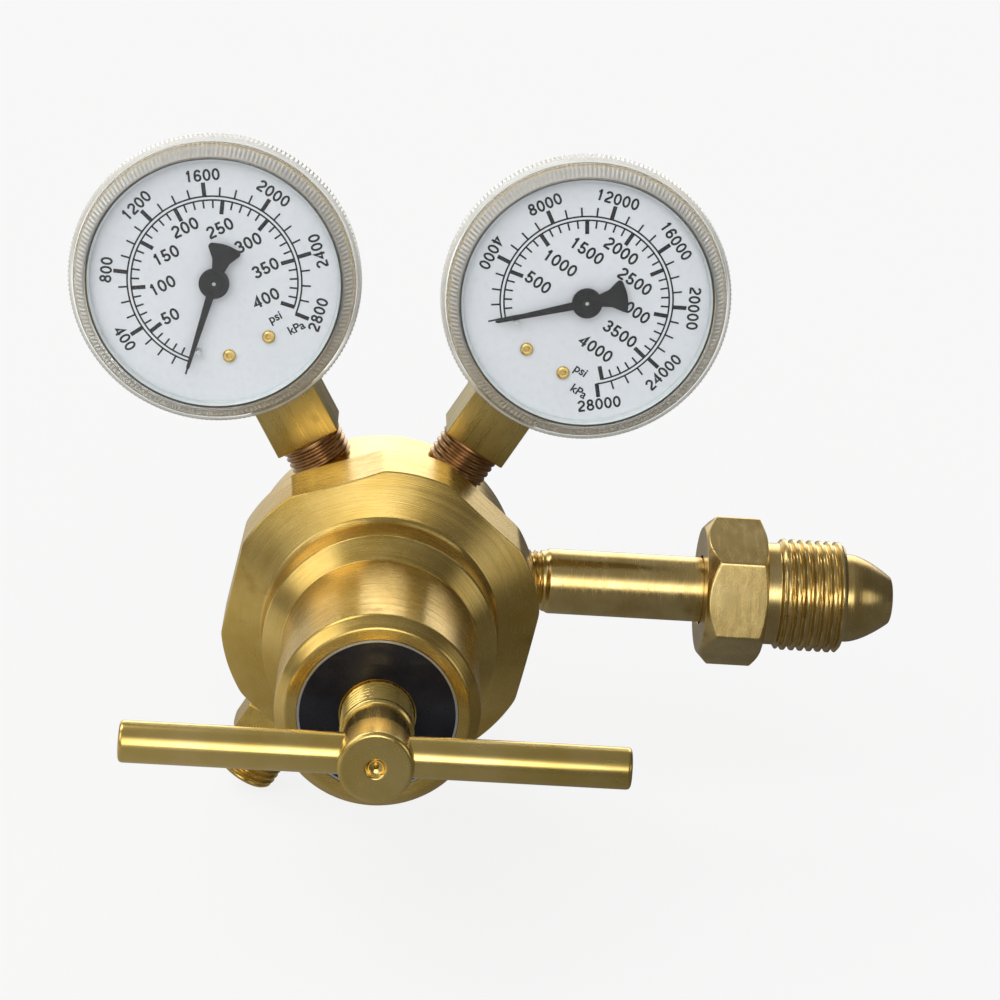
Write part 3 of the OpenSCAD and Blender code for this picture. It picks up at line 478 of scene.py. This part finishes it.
# ---- Outlet ----
back, front, end, hose_r = OUTLET["back"], OUTLET["hex"], OUTLET["end"], OUTLET["r"]
flat, corner = OUTLET["af"] / 2, OUTLET["af"] / 2 / math.cos(math.pi / 6)
outlet_metal = lathe("outlet_metal", refined(rounded([
    (PORT_R, BODY_R - 2), (PORT_R, back, 0.1), (flat - 0.2, back, 0.1), (corner, back + 0.9, 0.2),
    (corner, front - 0.9, 0.2), (flat - 0.2, front, 0.2), (hose_r, front + 0.1, 0.1), (hose_r, end - 0.8, 0.2),
    (hose_r - 0.8, end, 0.2), (4.9, end, 0.15), (3.2, end - 3, 0.3), (3.2, end - 12),
]), 0.15), Matrix(), MATERIALS["brass_plain"], 240, both(
    hexed(OUTLET["af"], 0, back + 0.05, front - 0.05, 0.06),
    threaded(PITCH, 0.75, front + 0.5, end - 0.1),
    threaded(PITCH, 0.7, BODY_R - 2, back - 0.5)))
outlet_metal.data.transform(radial("outlet"))  # in the mesh, so that its own box is the true one
finish_piece(outlet_metal, "regulator", ["outlet_fitting"], 30)

# ---- Gauges ----


def block(name, half, z0, z1, matrix):
    bm = bmesh.new()
    made = bmesh.ops.create_cube(bm, size=1.0)
    bmesh.ops.scale(bm, vec=(2 * half * MM, 2 * half * MM, (z1 - z0) * MM), verts=made["verts"])
    bmesh.ops.translate(bm, vec=(0, 0, (z0 + z1) / 2 * MM), verts=made["verts"])
    bmesh.ops.bevel(bm, geom=list(bm.edges), offset=0.35 * MM, segments=3, profile=0.6, affect="EDGES")
    mesh = bpy.data.meshes.new(name)
    bm.to_mesh(mesh)
    bm.free()
    obj = bpy.data.objects.new(name, mesh)
    bpy.context.scene.collection.objects.link(obj)
    obj.matrix_world = matrix
    mesh.materials.append(MATERIALS["brass_block"])
    return obj


def knurled(r, z, t):
    """Grip teeth on the skirt and fine reeds on the sloping shoulder."""
    out = r > WINDOW_R - 0.3
    teeth = 0.34 * (0.5 - 0.5 * np.cos(GRIPS * t)) * np.clip((z - 9.6) / 0.5, 0, 1) * np.clip((13.1 - z) / 0.5, 0, 1)
    shoulder = (z > 14.2) & (r > WINDOW_R - 3.5) & (r < WINDOW_R - 1.3)
    reeds = 0.36 * (0.5 - 0.5 * np.cos(GRIPS * t)) * np.clip((16.9 - z) / 0.5, 0, 1)
    return r - np.where(out, teeth, 0) - np.where(shoulder, reeds, 0)


def bow(cx, cy, rx, ry, start, end, n=16):
    turns = [math.radians(start + (end - start) * k / n) for k in range(n + 1)]
    return [(cx + rx * math.cos(a), cy + ry * math.sin(a)) for a in turns]


# Centre lines of the digits, in a box one unit high
DIGITS = {
    "0": [bow(0.33, 0.5, 0.25, 0.43, 0, 360, 28)],
    "1": [[(0.16, 0.74), (0.27, 0.78), (0.36, 0.93)], [(0.37, 1.0), (0.37, 0.0)]],
    "2": [bow(0.33, 0.69, 0.24, 0.24, 168, -38) + [(0.12, 0.22), (0.07, 0.07)], [(0.03, 0.07), (0.60, 0.07)]],
    "3": [bow(0.32, 0.72, 0.22, 0.21, 165, -80) + [(0.25, 0.51)], bow(0.32, 0.29, 0.25, 0.22, 88, -168)],
    "4": [[(0.45, 0.0), (0.45, 0.95), (0.06, 0.29), (0.62, 0.29)]],
    "5": [[(0.55, 0.93), (0.18, 0.93), (0.12, 0.50)] + bow(0.32, 0.31, 0.25, 0.24, 138, -165)],
    "6": [bow(0.33, 0.31, 0.24, 0.24, 0, 360, 24),
          [(0.56, 0.76), (0.47, 0.9), (0.34, 0.94), (0.19, 0.87), (0.10, 0.65), (0.085, 0.34)]],
    "8": [bow(0.33, 0.73, 0.20, 0.20, 0, 360, 24), bow(0.33, 0.28, 0.25, 0.22, 0, 360, 24)],
}
ADVANCE, GLYPH, STROKE = 0.78, 0.66, 0.19  # from digit to digit, width and line, for a height of one
ARC_IN, ARC_OUT, NUMBERS_IN, NUMBERS_OUT = 17.2, 18.0, 14.1, 22.4  # radii; the inner numbers reach out to theirs
LINE, BOLD, FINE = 0.36, 0.85, 0.38  # width of the arcs, the numbered ticks and the others


def dial_print(name, step):
    """Two arcs with ticks and numbers, and the two units; step is the psi between the inner numbers."""
    bm = bmesh.new()
    lift = DIAL_FRONT + 0.02

    def angle(psi):
        return math.radians(ZERO - SWEEP * psi / (8 * step))

    def ribbon(points, wide):
        pts = [Vector(p) for p in points]
        rows = []
        for i, p in enumerate(pts):
            along = (pts[min(i + 1, len(pts) - 1)] - pts[max(i - 1, 0)]).normalized()
            across = Vector((-along.y, along.x)) * wide / 2
            if 0 < i < len(pts) - 1:
                a, b = (p - pts[i - 1]).normalized(), (pts[i + 1] - p).normalized()
                across /= max(0.45, math.sqrt((1 + a.dot(b)) / 2))
            rows.append([bm.verts.new((q.x * MM, q.y * MM, lift * MM)) for q in (p - across, p + across)])
        for p, q in zip(rows, rows[1:]):
            bm.faces.new((p[0], q[0], q[1], p[1]))

    def bent(r, wide, a0, a1, n):
        turns = [a0 + (a1 - a0) * k / n for k in range(n + 1)]
        ribbon([(r * math.cos(a), r * math.sin(a)) for a in turns], wide)

    def tick(a, r0, r1, wide):
        ribbon([(r * math.cos(a), r * math.sin(a)) for r in (r0, r1)], wide)

    def write(text, r, a, height, turn):
        width = (len(text) * ADVANCE - (ADVANCE - GLYPH)) * height
        c, s = math.cos(turn), math.sin(turn)
        for i, digit in enumerate(text):
            for stroke in DIGITS[digit]:
                local = [((i * ADVANCE + x) * height - width / 2, (y - 0.5) * height) for x, y in stroke]
                ribbon([(r * math.cos(a) + x * c - y * s, r * math.sin(a) + x * s + y * c) for x, y in local],
                       STROKE * height)

    def word(text, x, y, height):
        curve = bpy.data.curves.new("word", "FONT")
        curve.body, curve.size, curve.offset = text, height / 0.73 * MM, 0.06 * MM
        curve.align_x, curve.align_y = "CENTER", "CENTER"
        made = bpy.data.objects.new("word", curve)
        bpy.context.scene.collection.objects.link(made)
        bpy.context.view_layer.update()
        flat = bpy.data.meshes.new_from_object(made.evaluated_get(bpy.context.evaluated_depsgraph_get()))
        bpy.data.objects.remove(made)
        bpy.data.curves.remove(curve)
        flat.transform(Matrix.Translation((x * MM, y * MM, lift * MM)))
        bm.from_mesh(flat)
        bpy.data.meshes.remove(flat)

    unit = 8 * step  # kPa between the outer numbers
    psi = 1 / 6.894757  # in one kPa
    last = 7 * unit * psi
    bent(ARC_OUT, LINE, angle(0), angle(last), 160)
    bent(ARC_IN, LINE, angle(0), angle(8 * step), 160)
    for k in range(41):
        major = k % 5 == 0
        tick(angle(k * step / 5), ARC_IN - (2.9 if major else 1.7), ARC_IN + 0.1, BOLD if major and k else FINE)
    for k in range(29):
        major = k % 4 == 0
        tick(angle(k * unit / 4 * psi), ARC_OUT - 0.1, ARC_OUT + (2.9 if major else 1.9), BOLD if major and k else FINE)
    tick(angle(0), ARC_IN, ARC_OUT, 0.3)
    inner, outer = 2.55, 2.4  # heights of the two rows of numbers
    for k in range(1, 9):
        a = angle(k * step)
        text = str(k * step)
        wide = len(text) * ADVANCE * inner
        write(text, NUMBERS_IN - (abs(math.cos(a)) * wide + abs(math.sin(a)) * inner) / 2, a, inner, 0.0)
    for k in range(1, 8):
        a = angle(k * unit * psi) + (math.radians(4) if k == 7 and name == "low" else 0)  # as on the real dial
        write(str(k * unit), NUMBERS_OUT, a, outer, a - math.copysign(math.pi / 2, math.sin(a)))
    word("psi", *((7.7, -12.3) if name == "low" else (7.5, -13.0)), 1.9)
    word("kPa", *((10.6, -16.3) if name == "low" else (9.7, -17.0)), 1.9)
    mesh = bpy.data.meshes.new("dial_print_" + name)
    bm.to_mesh(mesh)
    bm.free()
    obj = bpy.data.objects.new("dial_print_" + name, mesh)
    bpy.context.scene.collection.objects.link(obj)
    mesh.transform(Matrix.Rotation(math.radians(ANGLE[name] - 90), 4, "Z"))
    obj.matrix_world = gauge(name)
    mesh.materials.append(MATERIALS["pointer_black"])
    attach(obj, "regulator")


W = WINDOW_R
for side, step in (("low", 50), ("high", 500)):
    stem = radial(side)
    foot = BODY_R + SHOW[side]
    socket = block("gauge_block_" + side, BLOCK_W / 2, foot, foot + BLOCK_LEN, stem)
    finish_piece(socket, "regulator", ["gauge_socket_" + side])
    pipe = refined([(PORT_R + 0.1, BODY_R - 2), (PORT_R + 0.15, foot + 0.2)], 0.1)
    thread = lathe("gauge_thread_" + side, pipe, stem, NECK, 128, threaded(PITCH, 0.55, BODY_R - 3, foot + 0.1))
    finish_piece(thread, "regulator", (), 50)
    window = lathe("window_" + side, refined(rounded([
        (0, 16.2), (W - 3.9, 16.2, 0.4), (W - 2.3, 14.2, 0.3), (W - 1.65, 13.2, 0.3), (W - 1.65, 9.5, 0.2),
        (W - 0.2, 9.5, 0.2), (W, 10.0, 0.2), (W, 12.6, 0.3), (W - 0.4, 13.3, 0.2), (W - 1.2, 13.6, 0.15),
        (W - 1.5, 14.6, 0.2), (W - 3.4, 16.9, 0.2), (W - 3.8, 17.2, 0.15), (0, 17.2),
    ]), 0.9), gauge(side), MATERIALS["clear_plastic"], 1140, knurled)
    finish_piece(window, "regulator", ["gauge_window_" + side], 50)
    dial_print(side, step)
    ring = lathe("gauge_ring_" + side, rounded([
        (W - 4.7, 13.65), (W - 4.7, 15.6, 0.15), (W - 4.35, 15.85, 0.1), (W - 4.3, 16.1), (W - 3.95, 16.1),
        (W - 3.95, 13.65),
    ]), gauge(side), MATERIALS["rubber_black"], 200)
    # A pale wall inside, black in front, and the brass of the case outside
    ring.data.materials.append(BAND)
    ring.data.materials.append(MATERIALS["brass_case"])
    for p in ring.data.polygons:
        r = math.hypot(p.center.x, p.center.y)
        p.material_index = 1 if r < (W - 4.33) * MM else 2 if r > (W - 4.1) * MM else 0
    finish_piece(ring, "regulator", ["gauge_gasket_" + side])
    turned = gauge(side) @ Matrix.Rotation(math.radians(ANGLE[side] - 90), 4, "Z")
    for k, x in enumerate((-4.6, 4.6)):
        head = lathe(f"dial_screw_{side}_{k}", refined(rounded([
            (0, 13.75), (0.42, 13.75), (0.5, 14.25, 0.06), (0.95, 14.38, 0.2), (1.4, 14.0, 0.15), (1.4, 13.6),
        ]), 0.2), turned @ Matrix.Translation((x * MM, -15.4 * MM, 0)), MATERIALS["brass_screw"], 36)
        finish_piece(head, "regulator", ["dial_screws_" + side])
    hub = lathe("pointer_hub_" + side, rounded([
        (0.4, 15.6), (0.4, 15.9, 0.08), (1.35, 15.9, 0.08), (1.5, 15.72), (1.95, 15.72), (2.05, 15.84, 0.05),
        (2.3, 15.84, 0.05), (2.4, 15.6),
    ]), gauge(side), MATERIALS["pointer_black"], 64)
    finish_piece(hub, "pointer_" + side)

# ---- Springs ----


def sprung(node_name):
    """A copy of the CAD shape in spring steel, shown in place of the CAD piece."""
    source = frame["nodes"][node_name]
    obj = bpy.data.objects.new("coil_" + node_name, source.data.copy())
    bpy.context.scene.collection.objects.link(obj)
    obj.matrix_world = source.matrix_world.copy()
    obj.data.materials.clear()
    obj.data.materials.append(MATERIALS["spring_steel"])
    finish_piece(obj, "regulator", [node_name])
    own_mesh(obj)


sprung("adjusting_spring")
sprung("poppet_spring")

# ---- Floor, light and camera ----
floor_z = cad_box[0].z - 0.0005
bpy.ops.mesh.primitive_plane_add(size=12, location=(0, 0, floor_z))
floor = bpy.context.object
floor.name = "floor"
fm, ft, fb = material("floor")
fb.inputs["Roughness"].default_value = 0.9
fb.inputs["Specular IOR Level"].default_value = 0.0
pale = mixed(ft, noise(ft, place(ft), 3.0), (0.09, 0.09, 0.09, 1), (0.095, 0.095, 0.095, 1))
ft.links.new(pale, fb.inputs["Base Color"])
path = node(ft, "ShaderNodeLightPath")
x, y, z = node(ft, "ShaderNodeSeparateXYZ", {0: place(ft)}).outputs
# Metal sees the floor's glow mainly behind the object and to its left
behind = maths(ft, "MULTIPLY", spread(ft, y, -0.3, 0.25, 0.5, 1.0), spread(ft, x, 0.0, -0.3, 0.03, 0.8))
seen = maths(ft, "ADD", path.outputs["Is Camera Ray"], path.outputs["Is Transmission Ray"])
seen = maths(ft, "ADD", seen, maths(ft, "MULTIPLY", path.outputs["Is Glossy Ray"], behind))
glow = node(ft, "ShaderNodeEmission", {"Color": (1.0, 1.0, 1.0, 1), "Strength": maths(ft, "MULTIPLY", seen, GLOW)})
total = node(ft, "ShaderNodeAddShader", {0: fb.outputs[0], 1: glow.outputs[0]})
ft.links.new(total.outputs[0], ft.nodes["Material Output"].inputs["Surface"])
floor.data.materials.append(fm)

world = bpy.data.worlds.new("studio")
bpy.context.scene.world = world
world.use_nodes = True
wt = world.node_tree
heading = node(wt, "ShaderNodeTexCoord").outputs["Generated"]
x, y, z = node(wt, "ShaderNodeSeparateXYZ", {0: heading}).outputs


def soft_patch(aim, inner, outer, strength):
    """A round light that is full up to the inner angle from its aim and gone at the outer one, in degrees."""
    aimed = node(wt, "ShaderNodeVectorMath", {0: heading, 1: Vector(aim).normalized()}, operation="DOT_PRODUCT")
    full, gone = (math.cos(math.radians(a)) for a in (inner, outer))
    patch = node(wt, "ShaderNodeMapRange", {0: aimed.outputs["Value"], 1: gone, 2: full, 3: 0.0, 4: strength})
    patch.interpolation_type = "SMOOTHSTEP"
    return patch.outputs[0]


# What the metal mirrors: a gradient, brighter above and to the left, with patches by aim, two angles and strength
studio = maths(wt, "MULTIPLY", spread(wt, z, -0.35, 0.5, 0.04, 0.33), spread(wt, x, -0.7, 0.7, 1.35, 0.3))
for aim, inner, outer, strength in (
    ((-0.14, -0.93, 0.40), 9, 26, 1.3),
    ((0.0, -0.95, 0.30), 6, 17, 2.0),
    ((-0.75, -0.35, 0.55), 10, 24, 1.3),
    ((-0.48, 0.33, 0.79), 7, 20, 3.0),
    ((0.8, -0.5, 0.25), 6, 18, 0.8),
    ((-0.22, 0.95, 0.12), 14, 24, 0.75),
    ((0.16, 0.92, 0.36), 8, 30, 1.9),
):
    studio = maths(wt, "ADD", studio, soft_patch(aim, inner, outer, strength))
room = node(wt, "ShaderNodeBackground", {"Color": (1.0, 0.985, 0.96, 1), "Strength": studio})
white = node(wt, "ShaderNodeBackground", {"Color": (1.0, 1.0, 1.0, 1), "Strength": WHITE})
wpath = node(wt, "ShaderNodeLightPath")
direct = maths(wt, "ADD", wpath.outputs["Is Camera Ray"], wpath.outputs["Is Transmission Ray"])
blend = node(wt, "ShaderNodeMixShader", {0: direct, 1: room.outputs[0], 2: white.outputs[0]})
wt.links.new(blend.outputs[0], wt.nodes["World Output"].inputs["Surface"])


def soft_sun(name, aim, angle, strength):
    """Lights the matt surfaces evenly; the metal mirrors the soft patches of the world instead."""
    data = bpy.data.lights.new(name, "SUN")
    data.energy, data.angle = strength, math.radians(angle)
    obj = bpy.data.objects.new(name, data)
    obj.rotation_euler = Vector(aim).to_track_quat("Z", "Y").to_euler()
    obj.visible_glossy = False
    bpy.context.scene.collection.objects.link(obj)


soft_sun("key", (-0.45, -0.75, 0.75), 60, KEY)
soft_sun("fill", (0.6, -0.8, 0.5), 70, FILL)

# Fitted to the photo
camera = bpy.data.cameras.new("camera")
camera.lens, camera.sensor_width = 101.44, 36.0
camera.clip_start, camera.clip_end = 0.01, 50
view = bpy.data.objects.new("camera", camera)
view.location = (-0.10896, -0.58171, 0.21100)
view.rotation_euler = tuple(math.radians(a) for a in (71.62385, -4.10552, -1.66171))
bpy.context.scene.collection.objects.link(view)
bpy.context.scene.camera = view
bpy.context.scene.view_settings.view_transform = "Standard"
